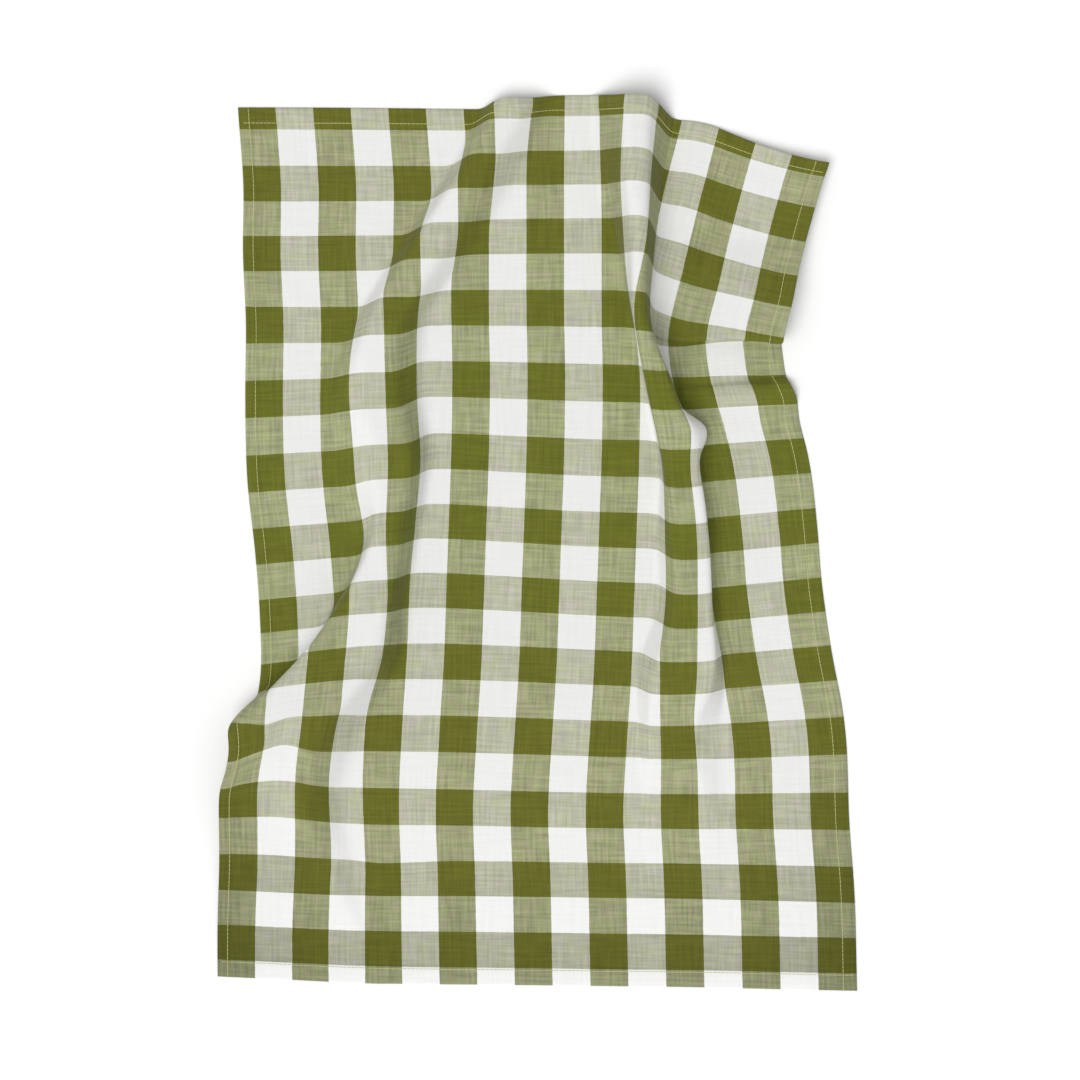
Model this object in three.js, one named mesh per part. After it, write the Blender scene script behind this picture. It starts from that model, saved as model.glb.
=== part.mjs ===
// A gingham tea towel lying loosely on a table: one hemmed cotton cloth with two standing ridges,
// a tuck let in from its right edge and a raised fold at its lower left edge.
// Millimetres, +Z up. Across runs from the cloth's left edge, along runs from its near edge.
import * as THREE from "three";

// The flat cloth
const CLOTH_WIDTH = 497;
const CLOTH_LENGTH = 700;
const CLOTH_THICKNESS = 1.2;
const HEM_THICKNESS = 2.2;
const LEFT_HEM = 8;
const RIGHT_HEM = 10.5;
const END_HEM = 12;
const HEM_STEP = 1;
const CLOTH_COLOUR = 0x8f9461;
const CLOTH_ROUGHNESS = 0.9;

// The woven check, which gives the units that the folds are placed in
const COLUMN = 29.2;
const ROW = 27.9;
const FIRST_SECTION = 27.5;
const SECTION_PITCH = 2 * ROW;

// How the middle of the cloth lies: flat on the table, a little drawn in along its length
const MIDDLE_COLUMN = 9.1;
const MIDDLE_START = -318.6;
const LENGTH_KEPT = 0.9914;

// A fold's flank rises on an arc, runs straight and levels out on an arc: each arc's share of it
const LEFT_ARC = 0.28;
const RIGHT_ARC = 0.2;
const TUCK_ARC = 0.28;
const LEAST_STEEP = 5;
const LEAST_HEIGHT = 1e-6;
const SLIDE_MARGIN = 7;
const SLIDE_PER_HEIGHT = 0.6;
const LEFT_BEND = 45;
const RIGHT_BEND = 25;

// Sections across the cloth, one through each dark row, from the near edge to the far edge.
// Places are in columns, heights, shifts and slides in millimetres, steepness and tilt in degrees.
const MIDDLE_REACH = 110;
const FORWARD_REACH = 130;
const MIDDLE = namedRows(
  ["shift", "tilt", "forward"],
  [
    [13.2, -0.8, 0],
    [12.1, -0.8, 0],
    [10.5, -1.2, -1.2],
    [13.6, -2.0, 0],
    [17.1, -2.6, 0],
    [19.1, -3.2, -1.6],
    [21.0, -2.9, -3.6],
    [22.9, -2.3, -3.6],
    [23.7, -1.6, -0.8],
    [22.9, -0.6, 1.2],
    [22.9, 0.4, 2.2],
    [22.9, 0.4, -0.2],
    [23.5, 0.4, -2.3],
  ],
);

const LEFT_RIDGE = namedRows(
  ["outer", "inner", "height", "outerSteep", "innerSteep", "outerSlide", "innerSlide", "tilt"],
  [
    [-6.0, 4.2, 0, 60, 30, 0, 0, -2.6],
    [-5.0, 3.4, 5, 45, 30, 0, 0, -2.8],
    [-3.8, 2.8, 18, 50, 40, 0, -2, -2.0],
    [-0.9, 3.2, 30, 58, 45, 0, -4, 4.5],
    [1.1, 4.3, 27, 82, 57, 6, -2, 6.5],
    [2.4, 4.5, 26, 72, 65, 8, 4, 6.0],
    [3.3, 4.8, 24, 65, 56, 6, 6, 5.5],
    [3.0, 5.0, 22, 34, 58, 3, 9, 4.0],
    [2.7, 4.7, 21, 40, 46, 2, 10, 2.5],
    [3.3, 5.0, 21, 51, 43, 5, 8, 0],
    [4.5, 6.3, 20, 47, 38, 7, 4, 0],
    [5.7, 7.3, 20, 50, 36, 7, 5, 0],
    [6.8, 8.3, 14, 46, 36, 7, 4, 0],
  ],
);

const RIGHT_RIDGE = namedRows(
  ["rise", "fall", "height", "riseSteep", "fallSteep", "riseSlide", "fallSlide", "tilt"],
  [
    [11.6, 13.5, 0, 30, 40, 0, 0, -1.0],
    [11.6, 13.5, 0, 30, 40, 0, 0, -1.2],
    [11.6, 13.5, 2, 30, 40, 0, 0, 0],
    [11.5, 13.3, 8, 45, 27, 1, 1, 3.0],
    [11.5, 13.5, 17, 53, 60, 6, -3, 5.0],
    [12.0, 13.6, 19.5, 57, 89, 8, -4, 5.5],
    [11.95, 13.65, 22.4, 63, 95, 9, -4, 5.0],
    [11.95, 13.6, 25.5, 84, 93, 9, -4, 4.0],
    [11.65, 13.35, 33, 90, 95, 7, -2, 2.0],
    [11.4, 12.95, 40, 90, 80, 5, 2, 0],
    [11.0, 12.6, 38, 72, 78, 2, 11, -2.5],
    [10.6, 12.35, 34, 60, 69, 2, 13, -2.5],
    [10.4, 12.2, 29, 51, 56, 4, 14, -3.0],
  ],
);

// The tuck let in from the right edge: each flank runs across on a slant, and dies out towards the
// right ridge, at first slowly and then faster
const TUCK_TIP = 13.6;
const TUCK_SOFT = 0.5;
const TUCK_FULL = 17.1;
const TUCK_FULLNESS = 1.4;
const TUCK_SLANT = 0.06;
const TUCK_TURN = 0.035;
const TUCK_TURN_FROM = 500;
const TUCK_TURN_LENGTH = 60;
const TUCK = namedRows(
  ["along", "height", "steep", "climb"],
  [
    [466, 7, 42, 1],
    [482, 7, 42, -1],
    [529, 25, 100, 1],
    [603, 14, 14, -1],
  ],
);

// Places where the cloth is dragged aside: each is full at its own place and fades with a bell
// curve, over its own reach to the left, to the right, to the near and to the far edge
const DRAGS = namedRows(
  ["across", "along", "left", "right", "near", "far", "x", "y"],
  [
    [30, 75, 200, 75, 200, 75, 3, 0],
    [CLOTH_WIDTH, 50, 150, 60, 200, 70, 2.6, 0],
    [CLOTH_WIDTH, 300, 110, 60, 150, 130, -2.4, 0],
    [CLOTH_WIDTH, 610, 60, 60, 40, 60, -2.5, 0],
    [490, 690, 60, 60, 100, 60, 0, 5],
    [408, 525, 25, 36, 40, 60, 0, -8],
    [480, CLOTH_LENGTH, 70, 60, 16, 60, 0, -6],
    [CLOTH_WIDTH, 466, 45, 20, 16, 12, 4, 0],
    [398, 446, 16, 22, 18, 11, 16, 0],
    [382, 212, 22, 16, 38, 30, -3.2, 0],
    [0, 185, 30, 40, 30, 20, 4.5, 0],
    [0, 178, 30, 20, 18, 25, 0, -5],
    [48, 160, 35, 35, 45, 25, 0, 4.5],
    [60, 115, 140, 70, 55, 50, 3.6, 0],
  ],
);

// Grid lines of the solid, closer where the folds are tight: each stretch ends at "to"
const ACROSS_STRETCHES = namedRows(
  ["to", "step"],
  [
    [LEFT_HEM, 8],
    [LEFT_HEM + HEM_STEP, HEM_STEP],
    [170, 10],
    [296, 24],
    [420, 6],
    [CLOTH_WIDTH - RIGHT_HEM - HEM_STEP, 14],
    [CLOTH_WIDTH - RIGHT_HEM, HEM_STEP],
    [CLOTH_WIDTH, 10.5],
  ],
);
const ALONG_STRETCHES = namedRows(
  ["to", "step"],
  [
    [END_HEM, 12],
    [END_HEM + HEM_STEP, HEM_STEP],
    [160, 28],
    [285, 11.5],
    [450, 18],
    [505, 9],
    [556, 4.7],
    [CLOTH_LENGTH - END_HEM - HEM_STEP, 20],
    [CLOTH_LENGTH - END_HEM, HEM_STEP],
    [CLOTH_LENGTH, 6],
  ],
);

// Turns rows of numbers into rows with named columns
function namedRows(names, rows) {
  return rows.map((row) => Object.fromEntries(names.map((name, i) => [name, row[i]])));
}

function clamp(value, low, high) {
  return Math.min(Math.max(value, low), high);
}

// 0 before the start, 1 after the end, and an even S between
function ease(value) {
  const t = clamp(value, 0, 1);
  return t * t * (3 - 2 * t);
}

// 0 before the bend, the plain distance after it, and a round start
function bendAfter(distance, soft) {
  if (distance < -soft) return 0;
  if (distance > soft) return distance;
  return (distance + soft) ** 2 / (4 * soft);
}

// A smooth curve through the values of the sections, at one place along the cloth
function throughSections(values, along) {
  const last = values.length - 1;
  const place = (along - FIRST_SECTION) / SECTION_PITCH;
  const k = clamp(Math.floor(place), 0, last - 1);
  const t = place - k;
  const b = values[k];
  const c = values[k + 1];
  const a = k > 0 ? values[k - 1] : 2 * b - c;
  const d = k + 2 <= last ? values[k + 2] : 2 * c - b;
  const even = 2 * b + (c - a) * t;
  const curved = (2 * a - 5 * b + 4 * c - d) * t ** 2 + (3 * b - a - 3 * c + d) * t ** 3;
  return (even + curved) / 2;
}

// All columns of a ridge's table at one place along the cloth
function sectionAt(table, along) {
  const names = Object.keys(table[0]);
  const valueOf = (name) => throughSections(table.map((row) => row[name]), along);
  return Object.fromEntries(names.map((name) => [name, valueOf(name)]));
}

// One flank, at a distance along the cloth from the flank's middle: how much cloth it has taken up
// by there, how high it has climbed, and how much it takes up in all
function flank(distance, height, steepDegrees, arc) {
  const climb = Math.max(height, LEAST_HEIGHT);
  const steep = THREE.MathUtils.degToRad(Math.max(steepDegrees, LEAST_STEEP));
  const straight = 1 - 2 * arc;
  const fullRun = (2 * arc * Math.sin(steep)) / steep + straight * Math.cos(steep);
  const fullRise = (2 * arc * (1 - Math.cos(steep))) / steep + straight * Math.sin(steep);
  const clothLength = climb / fullRise;
  const share = clamp(distance / clothLength + 0.5, 0, 1);
  const fromEnd = Math.min(share, 1 - share);
  const turned = (steep * Math.min(fromEnd, arc)) / arc;
  const pastArc = Math.max(fromEnd - arc, 0);
  const run = (arc * Math.sin(turned)) / steep + pastArc * Math.cos(steep);
  const rise = (arc * (1 - Math.cos(turned))) / steep + pastArc * Math.sin(steep);
  const runSoFar = share > 0.5 ? fullRun - run : run;
  const riseSoFar = share > 0.5 ? fullRise - rise : rise;
  return {
    taken: (share - runSoFar) * clothLength,
    risen: riseSoFar * clothLength,
    takenInAll: (1 - fullRun) * clothLength,
  };
}

// How far the cloth beyond a flank has slid along the fold, 0 to 1
function slid(distance, height) {
  const half = SLIDE_MARGIN + SLIDE_PER_HEIGHT * Math.max(height, 0);
  return ease(distance / (2 * half) + 0.5);
}

// Cloth left of the middle: its inner flank climbs to the ridge and its outer flank comes down
function leftOfMiddle(across, along) {
  const ridge = sectionAt(LEFT_RIDGE, along);
  const tilt = THREE.MathUtils.degToRad(ridge.tilt);
  const toInner = ridge.inner * COLUMN - across;
  const toOuter = ridge.outer * COLUMN - across;
  const inner = flank(toInner, ridge.height, ridge.innerSteep, LEFT_ARC);
  const outer = flank(toOuter, ridge.height, ridge.outerSteep, LEFT_ARC);
  const reach = MIDDLE_COLUMN * COLUMN - across - inner.taken - outer.taken;
  const pivot = (MIDDLE_COLUMN - ridge.inner) * COLUMN - inner.takenInAll / 2;
  const bend = bendAfter(reach - pivot, LEFT_BEND);
  const innerSlide = ridge.innerSlide * slid(toInner, ridge.height);
  const outerSlide = ridge.outerSlide * slid(toOuter, ridge.height);
  return {
    reach: -reach,
    x: -reach + (1 - Math.cos(tilt)) * bend,
    y: -Math.sin(tilt) * bend - innerSlide - outerSlide,
    z: inner.risen - outer.risen,
  };
}

// Cloth right of the middle: one flank climbs to the ridge and the next comes down
function rightOfMiddle(across, along) {
  const ridge = sectionAt(RIGHT_RIDGE, along);
  const tilt = THREE.MathUtils.degToRad(ridge.tilt);
  const toRise = across - ridge.rise * COLUMN;
  const toFall = across - ridge.fall * COLUMN;
  const rise = flank(toRise, ridge.height, ridge.riseSteep, RIGHT_ARC);
  const fall = flank(toFall, ridge.height, ridge.fallSteep, RIGHT_ARC);
  const reach = across - MIDDLE_COLUMN * COLUMN - rise.taken - fall.taken;
  const pivot = ((ridge.rise + ridge.fall) / 2 - MIDDLE_COLUMN) * COLUMN - rise.takenInAll;
  const bend = bendAfter(reach - pivot, RIGHT_BEND);
  const riseSlide = ridge.riseSlide * slid(toRise, ridge.height);
  const fallSlide = ridge.fallSlide * slid(toFall, ridge.height);
  return {
    reach,
    x: reach - (1 - Math.cos(tilt)) * bend,
    y: Math.sin(tilt) * bend - riseSlide - fallSlide,
    z: rise.risen - fall.risen,
  };
}

// What the tuck adds: it draws the far corner down and turns it
function tuck(across, along) {
  const fromTip = bendAfter(across / COLUMN - TUCK_TIP, TUCK_SOFT) / (TUCK_FULL - TUCK_TIP);
  const share = 1 - Math.max(1 - fromTip, 0) ** TUCK_FULLNESS;
  const slant = TUCK_SLANT * (across - CLOTH_WIDTH);
  const turned = ease((along - TUCK_TURN_FROM) / TUCK_TURN_LENGTH);
  const moved = { x: -turned * TUCK_TURN * Math.max(across - TUCK_TIP * COLUMN, 0), y: 0, z: 0 };
  for (const fold of TUCK) {
    const part = flank(along - fold.along - slant, fold.height * share, fold.steep, TUCK_ARC);
    moved.y -= part.taken;
    moved.z += fold.climb * part.risen;
  }
  return moved;
}

// What all the drags add up to at one place
function dragged(across, along) {
  const moved = { x: 0, y: 0 };
  for (const drag of DRAGS) {
    const aside = (across - drag.across) / (across < drag.across ? drag.left : drag.right);
    const ahead = (along - drag.along) / (along < drag.along ? drag.near : drag.far);
    const share = Math.exp(-aside * aside - ahead * ahead);
    moved.x += drag.x * share;
    moved.y += drag.y * share;
  }
  return moved;
}

// A point of the cloth's underside
function underside(across, along) {
  const isLeft = across < MIDDLE_COLUMN * COLUMN;
  const side = isLeft ? leftOfMiddle(across, along) : rightOfMiddle(across, along);
  const middle = sectionAt(MIDDLE, along);
  const slope = Math.tan(THREE.MathUtils.degToRad(middle.tilt));
  const turned = slope * MIDDLE_REACH * Math.tanh(side.reach / MIDDLE_REACH);
  const forward = middle.forward * Math.exp(-((side.reach / FORWARD_REACH) ** 2));
  const flatY = MIDDLE_START + LENGTH_KEPT * (along - FIRST_SECTION);
  const folded = tuck(across, along);
  const drag = dragged(across, along);
  return new THREE.Vector3(
    middle.shift + side.x + folded.x + drag.x,
    flatY + turned + forward + side.y + folded.y + drag.y,
    Math.max(side.z + folded.z, 0),
  );
}

// The way the upper face looks there
function normalAt(across, along) {
  const reach = 0.5;
  const left = underside(across - reach, along);
  const right = underside(across + reach, along);
  const near = underside(across, along - reach);
  const far = underside(across, along + reach);
  return right.sub(left).cross(far.sub(near)).normalize();
}

// The cloth is thicker in its turned hems
function thicknessAt(across, along) {
  const inSideHem = across <= LEFT_HEM || across >= CLOTH_WIDTH - RIGHT_HEM;
  const inEndHem = along <= END_HEM || along >= CLOTH_LENGTH - END_HEM;
  return inSideHem || inEndHem ? HEM_THICKNESS : CLOTH_THICKNESS;
}

// Even grid lines within each stretch
function gridLines(stretches) {
  const lines = [0];
  for (const { to, step } of stretches) {
    const from = lines[lines.length - 1];
    const count = Math.max(1, Math.round((to - from) / step));
    for (let i = 1; i <= count; i++) lines.push(from + ((to - from) * i) / count);
  }
  return lines;
}

// Upper face, underside and rim as one closed surface
function clothGeometry() {
  const acrossLines = gridLines(ACROSS_STRETCHES);
  const alongLines = gridLines(ALONG_STRETCHES);
  const wide = acrossLines.length;
  const long = alongLines.length;
  const lower = [];
  const upper = [];
  for (const along of alongLines) {
    for (const across of acrossLines) {
      const point = underside(across, along);
      lower.push(point);
      upper.push(point.clone().addScaledVector(normalAt(across, along), thicknessAt(across, along)));
    }
  }
  const under = (i, j) => j * wide + i;
  const over = (i, j) => wide * long + under(i, j);
  const faces = [];
  const quad = (a, b, c, d) => faces.push(a, b, c, a, c, d);
  for (let j = 0; j < long - 1; j++) {
    for (let i = 0; i < wide - 1; i++) {
      quad(over(i, j), over(i + 1, j), over(i + 1, j + 1), over(i, j + 1));
      quad(under(i, j), under(i, j + 1), under(i + 1, j + 1), under(i + 1, j));
    }
  }
  for (let i = 0; i < wide - 1; i++) {
    quad(under(i, 0), under(i + 1, 0), over(i + 1, 0), over(i, 0));
    quad(under(i + 1, long - 1), under(i, long - 1), over(i, long - 1), over(i + 1, long - 1));
  }
  for (let j = 0; j < long - 1; j++) {
    quad(under(0, j + 1), under(0, j), over(0, j), over(0, j + 1));
    quad(under(wide - 1, j), under(wide - 1, j + 1), over(wide - 1, j + 1), over(wide - 1, j));
  }
  const geometry = new THREE.BufferGeometry().setFromPoints([...lower, ...upper]);
  geometry.setIndex(faces);
  geometry.computeVertexNormals();
  return geometry;
}

// The part stands on its lowest points, with its origin under the middle of its box
function placedOnTable(geometry) {
  geometry.computeBoundingBox();
  const { min, max } = geometry.boundingBox;
  return geometry.translate(-(min.x + max.x) / 2, -(min.y + max.y) / 2, -min.z);
}

function towel() {
  const material = new THREE.MeshStandardMaterial({
    color: CLOTH_COLOUR,
    roughness: CLOTH_ROUGHNESS,
    metalness: 0,
  });
  const mesh = new THREE.Mesh(placedOnTable(clothGeometry()), material);
  mesh.name = "towel";
  return mesh;
}

const teaTowel = new THREE.Group();
teaTowel.add(towel());

export default teaTowel;
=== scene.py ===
"""A gingham tea towel lying in loose folds: its cloth, its hem stitching and a small studio."""

from types import SimpleNamespace

import bpy
import numpy as np
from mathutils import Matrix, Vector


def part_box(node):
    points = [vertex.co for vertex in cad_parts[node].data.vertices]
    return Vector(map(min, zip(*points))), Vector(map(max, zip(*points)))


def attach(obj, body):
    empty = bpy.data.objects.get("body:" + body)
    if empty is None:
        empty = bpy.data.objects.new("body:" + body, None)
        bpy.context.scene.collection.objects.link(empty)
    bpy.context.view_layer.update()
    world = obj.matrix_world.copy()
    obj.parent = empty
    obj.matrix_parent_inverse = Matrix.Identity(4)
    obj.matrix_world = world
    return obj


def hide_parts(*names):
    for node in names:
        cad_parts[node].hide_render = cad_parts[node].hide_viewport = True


bl_info = {
    "name": "Gingham Tea Towel",
    "version": (1, 0, 0),
    "blender": (4, 5, 0),
    "location": "3D View > Sidebar > Tea Towel",
    "description": "A hemmed gingham tea towel lying in loose folds, its stitching and a small studio",
    "category": "Add Mesh",
}

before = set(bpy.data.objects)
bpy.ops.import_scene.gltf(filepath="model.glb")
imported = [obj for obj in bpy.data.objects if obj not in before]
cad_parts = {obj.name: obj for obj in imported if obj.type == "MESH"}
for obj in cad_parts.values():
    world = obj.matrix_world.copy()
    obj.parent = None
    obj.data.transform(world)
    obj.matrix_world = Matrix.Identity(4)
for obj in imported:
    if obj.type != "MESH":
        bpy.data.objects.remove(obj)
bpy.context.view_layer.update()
SOLID_LOW, SOLID_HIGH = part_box("towel")

MM = 0.001
FLAT_PLACE = "flat_place"

# The flat cloth and its check. Shapes are worked out in millimetres until they become a mesh.
CLOTH_WIDTH = 497.0
CLOTH_LENGTH = 700.0
COLUMN = 29.2
COLUMNS = 17
ROW = 27.9
FIRST_ROW = 13.5
FIRST_SECTION = 27.5
SECTION_PITCH = 2 * ROW

# How the middle of the cloth lies: flat on the table, a little drawn in along its length
MIDDLE_COLUMN = 9.1
MIDDLE_START = -318.6
LENGTH_KEPT = 0.9914
MIDDLE_REACH = 110.0
FORWARD_REACH = 130.0

# A fold's flank rises on an arc, runs straight and levels out on an arc: each arc's share of it
LEFT_ARC = 0.28
RIGHT_ARC = 0.2
TUCK_ARC = 0.28
LEAST_STEEP = 5.0
LEAST_HEIGHT = 1e-6
SLIDE_MARGIN = 7.0
SLIDE_PER_HEIGHT = 0.6
LEFT_BEND = 45.0
RIGHT_BEND = 25.0

# The tuck let in from the right edge
TUCK_TIP = 13.6
TUCK_SOFT = 0.5
TUCK_FULL = 17.1
TUCK_FULLNESS = 1.4
TUCK_SLANT = 0.06
TUCK_TURN = 0.035
TUCK_TURN_FROM = 500.0
TUCK_TURN_LENGTH = 60.0


def named_columns(names, rows):
    """A table's columns by name, each one array with a value for each row."""
    return dict(zip(names.split(), np.array(rows, float).T))


# Sections across the cloth, one through each dark row, from the near edge to the far edge.
# Places are in columns, heights, shifts and slides in millimetres, steepness and tilt in degrees.
MIDDLE = named_columns(
    "shift tilt forward",
    [
        (13.2, -0.8, 0),
        (12.1, -0.8, 0),
        (10.5, -1.2, -1.2),
        (13.6, -2.0, 0),
        (17.1, -2.6, 0),
        (19.1, -3.2, -1.6),
        (21.0, -2.9, -3.6),
        (22.9, -2.3, -3.6),
        (23.7, -1.6, -0.8),
        (22.9, -0.6, 1.2),
        (22.9, 0.4, 2.2),
        (22.9, 0.4, -0.2),
        (23.5, 0.4, -2.3),
    ],
)

LEFT_RIDGE = named_columns(
    "outer inner height outer_steep inner_steep outer_slide inner_slide tilt",
    [
        (-6.0, 4.2, 0, 60, 10, 0, 0, -2.6),
        (-5.0, 3.4, 5, 45, 14, 0, 0, -2.8),
        (-3.8, 2.8, 18, 50, 32, 0, -2, -2.0),
        (-0.9, 3.2, 30, 58, 45, 0, -4, 4.5),
        (1.1, 4.3, 27, 82, 57, 6, -2, 6.5),
        (2.4, 4.5, 26, 72, 65, 8, 4, 6.0),
        (3.3, 4.8, 24, 65, 56, 6, 6, 5.5),
        (3.0, 5.0, 22, 34, 58, 3, 9, 4.0),
        (2.7, 4.7, 21, 40, 46, 2, 10, 2.5),
        (3.3, 5.0, 21, 51, 43, 5, 8, 0),
        (4.5, 6.3, 20, 47, 38, 7, 4, 0),
        (5.7, 7.3, 20, 50, 36, 7, 5, 0),
        (6.8, 8.3, 14, 46, 36, 7, 4, 0),
    ],
)

RIGHT_RIDGE = named_columns(
    "rise fall height rise_steep fall_steep rise_slide fall_slide tilt",
    [
        (11.6, 13.5, 0, 10, 10, 0, 0, -1.0),
        (11.6, 13.5, 0, 10, 10, 0, 0, -1.2),
        (11.6, 13.5, 2, 14, 12, 0, 0, 0),
        (11.5, 13.3, 8, 45, 24, 1, 1, 3.0),
        (11.5, 13.75, 17, 53, 60, 6, -3, 5.0),
        (12.0, 13.68, 19.5, 57, 89, 8, -4, 5.5),
        (11.95, 13.65, 22.4, 63, 95, 9, -4, 5.0),
        (11.95, 13.6, 25.5, 84, 93, 9, -4, 4.0),
        (11.65, 13.35, 33, 90, 95, 7, -2, 2.0),
        (11.4, 12.95, 40, 90, 80, 5, 2, 0),
        (11.0, 12.6, 38, 72, 78, 2, 11, -2.5),
        (10.6, 12.35, 34, 60, 69, 2, 13, -2.5),
        (10.4, 12.2, 29, 51, 56, 4, 14, -3.0),
    ],
)

# Flanks of the tuck: each runs across on a slant, and dies out towards the right ridge
TUCK = named_columns(
    "along height steep climb",
    [
        (466, 7, 42, 1),
        (482, 7, 42, -1),
        (529, 25, 100, 1),
        (603, 14, 14, -1),
    ],
)

# Places where the cloth is dragged aside: each is full at its own place and fades with a bell
# curve, over its own reach to the left, to the right, to the near and to the far edge
DRAGS = named_columns(
    "across along left right near far x y",
    [
        (30, 75, 200, 75, 200, 75, 3, 0),
        (CLOTH_WIDTH, 50, 150, 60, 200, 70, 2.6, 0),
        (CLOTH_WIDTH, 300, 110, 60, 150, 130, -2.4, 0),
        (CLOTH_WIDTH, 610, 60, 60, 40, 60, -2.5, 0),
        (490, 690, 60, 60, 100, 60, 0, 5),
        (408, 525, 25, 36, 40, 60, 0, -8),
        (480, CLOTH_LENGTH, 70, 60, 16, 60, 0, -6),
        (CLOTH_WIDTH, 466, 45, 20, 16, 12, 4, 0),
        (398, 446, 16, 22, 18, 11, 16, 0),
        (382, 212, 22, 16, 38, 30, -3.2, 0),
        (0, 185, 30, 40, 30, 20, 4.5, 0),
        (0, 178, 30, 20, 18, 25, 0, -5),
        (48, 160, 35, 35, 45, 25, 0, 4.5),
        (60, 115, 140, 70, 55, 50, 4.4, 0),
    ],
)

# Smaller drags, finer than the solid's: ripples of the rows beside the raised fold
SMALL_DRAGS = named_columns(
    "across along left right near far x y",
    [
        (29, 209, 12, 16, 14, 20, 0, -4),
        (46, 186, 14, 14, 14, 20, 0, 3.2),
        (72, 178, 14, 20, 40, 30, 0, -2.4),
        (2, 160, 10, 12, 14, 20, 0, -3),
        (35, 115, 50, 45, 22, 14, 0, 2.2),
        (130, 97, 20, 40, 20, 20, 0, -2.4),
    ],
)

# Soft creases pressed into the lying cloth: each runs from one place to another on the flat cloth,
# bulges sideways by its bow, and stands up by its height, or sinks where that is negative
CREASES = named_columns(
    "across along to_across to_along bow width height",
    [
        (372, 165, 318, 172, 9, 9, -1.2),
        (395, 150, 350, 142, 8, 11, 1.0),
    ],
)

# The bands' edges wander by this much at most, in metres, on noise of this scale
BAND_SWAY = 0.0003
BAND_SWAY_SCALE = 160

# Streaks of uneven yarn: noise scales across and along a yarn, the part of the noise that is used,
# how far each kind of check swings with it, and how much it adds to the relief
STREAK_FINE = 460
STREAK_LONG = 28
STREAK_RANGE = (0.72, 1.28)
DARK_SWING = 0.16
WARP_SWING = 0.24
WEFT_SWING = 0.17
WHITE_SWING = 0.03
STREAK_RELIEF = 1.5

# Painted shade of a yarn: darker at its sides and a little lighter at its top
YARN_SHADE = (0.94, 1.03)

# Tints that some patches of the dyed checks lean to, and the noise that deals them out
PLAIN_TINT = (1, 1, 1, 1)
MOTTLE_SCALE = 95
MOTTLE_RANGE = (0.32, 0.68)
LEAF_TINT = (0.97, 1.015, 0.86, 1)
SAND_TINT = (1.03, 0.995, 1.07, 1)

# Towards the near edge the green checks grow darker and the white lighter: each share, the stretch
# along the cloth in metres over which it goes back to the common colour, and how far the darkening
# reaches on along both sides
NEAR_DARKENING = 0.65
NEAR_DARKENING_STRETCH = (-0.10, 0.11)
NEAR_LIGHTENING = 1.08
NEAR_LIGHTENING_STRETCH = (0.05, 0.22)
SIDE_REACH = 0.12

# Half way along the dye leans to leaf green: the stretches over which that comes and goes, and
# the share of it that shows where white weft crosses the green warp
LEAFY_TINT = (1.01, 1.07, 1.02, 1)
LEAFY_WARP_SHARE = 0.35
LEAFY_FROM = (0.20, 0.36)
LEAFY_TO = (0.50, 0.60)

# One stitch: its rings from end to end and the sides of each, and in thread radii how high it
# arches, how deep it dips and how much higher it arches over another stitch. A thread's plies go
# round it this often in a stitch.
STITCH_RINGS = np.array([-1.0, -0.93, -0.75, -0.35, 0.0, 0.35, 0.75, 0.93, 1.0])
STITCH_SIDES = 6
STITCH_ARCH = 1.5
STITCH_DIP = 0.7
STITCH_OVER = 2.2
PLY_TURNS = 5.0
# Painted shade of a thread, from the grooves between its plies to the plies' tops
PLY_SHADE = (0.6, 1.0)

# The studio: turn of the key light in degrees, drop of the floor under the cloth, and the camera
KEY_TURN = (25, -18, 0)
FLOOR_DROP = 0.0003
SENSOR_WIDTH = 36.0
CAMERA_REACH = 50.0

# Grid lines of the cloth, closer where its folds are tight: each stretch ends at "to"
ACROSS_STRETCHES = named_columns(
    "to step",
    [
        (1.2, 0.6),
        (6.5, 2.65),
        (10.5, 1.0),
        (170, 3.0),
        (296, 4.2),
        (420, 2.2),
        (484, 3.2),
        (488, 1.0),
        (495.8, 2.6),
        (CLOTH_WIDTH, 0.6),
    ],
)
ALONG_STRETCHES = named_columns(
    "to step",
    [
        (1.2, 0.6),
        (10.5, 3.1),
        (14.5, 1.0),
        (130, 3.8),
        (285, 2.5),
        (450, 3.2),
        (505, 2.2),
        (556, 1.6),
        (685.5, 3.6),
        (689.5, 1.0),
        (698.8, 3.1),
        (700, 0.6),
    ],
)


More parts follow.
